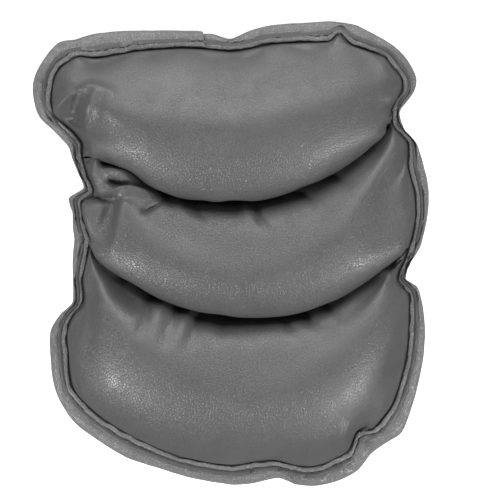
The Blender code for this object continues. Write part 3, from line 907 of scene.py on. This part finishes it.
def tape_section(width, top, low, lip, dip, crown):
    """The U-shaped section: (distance in from the fold, height) round its outside and back."""
    t = TAPE_THICKNESS
    radius = (top - low) / 2
    mid = (top + low) / 2
    stitch = width - STITCH_INSET
    outside = [(width, top + lip), (width - 0.25 * MM, top + 0.15 * MM + lip),
               (width - 0.9 * MM, top + 0.2 * MM + lip * 0.7),
               (stitch + 0.9 * MM, top + 0.1 * MM + lip * 0.2), (stitch + 0.4 * MM, top - dip * 0.4),
               (stitch, top - dip), (stitch - 0.4 * MM, top - dip * 0.4),
               (stitch - 1.0 * MM, top + 0.1 * MM + crown * 0.3),
               (stitch * 0.72, top + crown * 0.8), (stitch * 0.5, top + crown)]
    outside += [(radius * (1 - math.cos(a)), mid + radius * math.sin(a) * 1.02)
                for a in np.linspace(math.radians(70), math.radians(-90), 11)]
    outside += [(width * 0.5, low), (width - 1.0 * MM, low), (width, low + 0.1 * MM)]
    inside = [(width, low + t), (width * 0.5, low + t)]
    inner_radius = radius - t
    inside += [(t + inner_radius * (1 - math.cos(a)), mid + inner_radius * math.sin(a))
               for a in np.linspace(math.radians(-90), math.radians(70), 7)]
    inside += [(stitch * 0.5, top + crown - t), (stitch * 0.72, top + crown * 0.8 - t),
               (stitch - 0.4 * MM, top - dip * 0.4 - t), (stitch + 0.4 * MM, top - dip * 0.4 - t),
               (width - 0.9 * MM, top + lip * 0.7 - t), (width, top + lip - t * 0.8)]
    return np.array(outside + inside)


def run_near(run, line, place_mm):
    """How far along a line its point nearest to a plan place is."""
    return run[np.argmin(np.linalg.norm(line - np.array(place_mm) * MM, axis=1))]


def tape_bulges(run, line):
    """Gathers and pleats: the tape's rise along its length from the listed folds."""
    total = np.zeros_like(run)
    for place_mm, height_mm, width_mm in PLEATS:
        away = (run - run_near(run, line, place_mm)) / (width_mm * MM)
        total += height_mm * MM * np.exp(-away ** 2)
    return total


def tape_stations():
    """Fractional indexes on the tape's lines, evenly spread along the tape, past the joint."""
    index = np.linspace(0, LAST + LAP_STATIONS, TAPE_SAMPLES)
    run = run_length(at_index(RIM, index))
    stitches = round(run[-1] / STITCH_PITCH)
    count = stitches * STEPS_PER_STITCH + 1
    shares = np.linspace(0, 1, count)
    return np.interp(shares * run[-1], run, index), shares * run[-1], shares * stitches


def tape_rings(outer, across, inset, sections):
    """The tape's sections set upright across its outer line."""
    rings = []
    for k, section in enumerate(sections):
        ring = np.empty((len(section), 3))
        ring[:, :2] = outer[k] + (section[:, :1] + inset[k]) * across[k]
        ring[:, 2] = section[:, 1]
        rings.append(ring)
    return np.array(rings)


def make_tape(leather, thread):
    index, run, stitches = tape_stations()
    inner, outer = at_index(RIM, index), at_index(RIM_OUTER, index)
    across = unit(inner - outer)
    hole = (0.5 + 0.5 * np.cos(2 * math.pi * stitches)) ** 3
    between = 1 - hole
    gathers = tape_bulges(run, outer)
    lip = (0.1 + 0.25 * wobble(run, 8 * MM, 1)) * MM + 0.1 * MM * between
    dip = (0.08 + 1.2 * hole + 0.08 * wobble(run, 7 * MM, 2)) * MM
    crown = (0.9 + 0.75 * wobble(run, 13 * MM, 3) + 0.5 * wobble(run, 4.5 * MM, 4)) * MM
    crown += 0.25 * MM * between + gathers
    width = np.linalg.norm(inner - outer, axis=1)
    width += 0.6 * MM * wobble(run, 6 * MM, 5) + 0.3 * MM * wobble(run, 2.6 * MM, 6)
    start, finish = smoothstep(run / LAP_FADE), smoothstep((run[-1] - run) / LAP_FADE)
    top = TAPE_TOP - LAP_RISE * (1 - start) + LAP_RISE * (1 - finish)
    inset = 1.6 * MM * (1 - start) - 0.3 * MM * (1 - finish)
    inset += 0.3 * MM * wobble(run, 16 * MM, 7) + 0.12 * MM * wobble(run, 5 * MM, 8)
    sections = [tape_section(width[k] - inset[k], top[k], TAPE_LOW, lip[k], dip[k], crown[k])
                for k in range(len(run))]
    rings = tape_rings(outer, across, inset, sections)
    rows, columns = rings.shape[:2]
    faces = grid_faces(rows, columns, closed_columns=True)
    faces.append(tuple(range(columns))[::-1])
    faces.append(tuple((rows - 1) * columns + j for j in range(columns)))
    tape = new_object("binding_tape", rings.reshape(-1, 3), faces, "tape_leatherette", leather,
                      "edge_tape")
    seam = outer + across * (width - STITCH_INSET)[:, None]
    upper = top - dip * (1 - hole) + 0.1 * MM
    lower = np.full(len(run), TAPE_LOW - 0.25 * MM)
    count = round(stitches[-1])
    return [tape, stitch_chain("edge_stitches", seam, upper, count, thread, "edge_needle_thread"),
            stitch_chain("edge_under_stitches", seam, lower, count, thread,
                         "edge_bobbin_thread")]


# ---------------------------------------------------------------- studio


def area_light(name, place, size, watts):
    light = bpy.data.lights.new(name, "AREA")
    light.shape = "RECTANGLE"
    light.size, light.size_y = size
    light.energy = watts
    obj = bpy.data.objects.new(name, light)
    bpy.context.collection.objects.link(obj)
    obj.location = place
    towards_pad = Vector(LIGHT_TARGET) - Vector(place)
    obj.rotation_euler = towards_pad.to_track_quat("-Z", "Y").to_euler()


def make_floor():
    floor_mesh = bpy.data.meshes.new("studio_floor")
    corners = [(x * FLOOR_HALF, y * FLOOR_HALF, FLOOR_LEVEL)
               for x, y in ((-1, -1), (1, -1), (1, 1), (-1, 1))]
    floor_mesh.from_pydata(corners, [], [(0, 1, 2, 3)])
    floor = bpy.data.objects.new("studio_floor", floor_mesh)
    bpy.context.collection.objects.link(floor)
    paper = Nodes("studio_paper")
    paper.shader.inputs["Base Color"].default_value = grey(0.95)
    paper.shader.inputs["Roughness"].default_value = 1.0
    paper.shader.inputs["Specular IOR Level"].default_value = 0.0
    paper.shader.inputs["Emission Color"].default_value = grey(1.0)
    paper.shader.inputs["Emission Strength"].default_value = 0.6
    floor_mesh.materials.append(paper.material)
    floor.visible_glossy = False


def make_studio():
    make_floor()
    area_light("top_softbox", place=(0.0, 1.75, 1.0), size=(2.4, 1.6), watts=42.0)
    area_light("left_softbox", place=(-0.95, -0.7, 0.95), size=(0.4, 0.25), watts=14.5)
    area_light("right_softbox", place=(0.95, -0.7, 0.95), size=(0.4, 0.25), watts=14.5)
    world = bpy.data.worlds.new("studio_air")
    bpy.context.scene.world = world
    world.use_nodes = True
    world.node_tree.nodes["Background"].inputs["Color"].default_value = grey(1.0)
    world.node_tree.nodes["Background"].inputs["Strength"].default_value = 0.06


def make_camera():
    camera = bpy.data.objects.new("camera", bpy.data.cameras.new("camera"))
    bpy.context.collection.objects.link(camera)
    camera.data.lens = LENS_MM
    framed = FRAMED_SHARE * (CAD_BOX[1][0] - CAD_BOX[0][0] + FRAMED_SLACK)
    distance = framed * camera.data.lens / camera.data.sensor_width
    camera.location = (CAMERA_X, CAMERA_Y, distance + FRAMED_LEVEL)
    bpy.context.scene.camera = camera


# ---------------------------------------------------------------- the pad


for thing in list(bpy.data.objects):
    if thing.name in ("Cube", "Light", "Camera"):
        bpy.data.objects.remove(thing)

LEATHER = leather_material("cover_leather", tone=0.104, cell=1.6 * MM, relief=0.11 * MM,
                           roughness=0.4, glint_speckle=0.02)
# The tape leather carries many painted glints, the cover leather few.
TAPE_LEATHER = leather_material("tape_leather", tone=0.2, cell=1.2 * MM, relief=0.22 * MM,
                                roughness=0.36, glint_speckle=0.8)
THREAD = thread_material("thread", tone=0.03)
BACKING = woven_material("backing_weave", tone=0.022, pitch=0.8 * MM)
FIBRE = fibre_material("loose_fibre")

bpy.context.scene.view_settings.view_transform = "Standard"
made = []
for lobe in make_lobes():
    made += make_stuffed_lobe(lobe, LEATHER, FIBRE)
made += make_tape(TAPE_LEATHER, THREAD)
base = make_base(BACKING)
made.append(base)
for name, line in (("upper", UPPER_CHANNEL), ("lower", LOWER_CHANNEL)):
    level = np.full(len(line), SEAM_HEIGHT + 0.2 * MM)
    count = round(run_length(line)[-1] / STITCH_PITCH)
    made.append(stitch_chain(name + "_channel_stitches", line[1:-1], level[1:-1], count, THREAD,
                             name + "_channel_thread"))
for obj in made:
    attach(obj, "root")
make_studio()
make_camera()
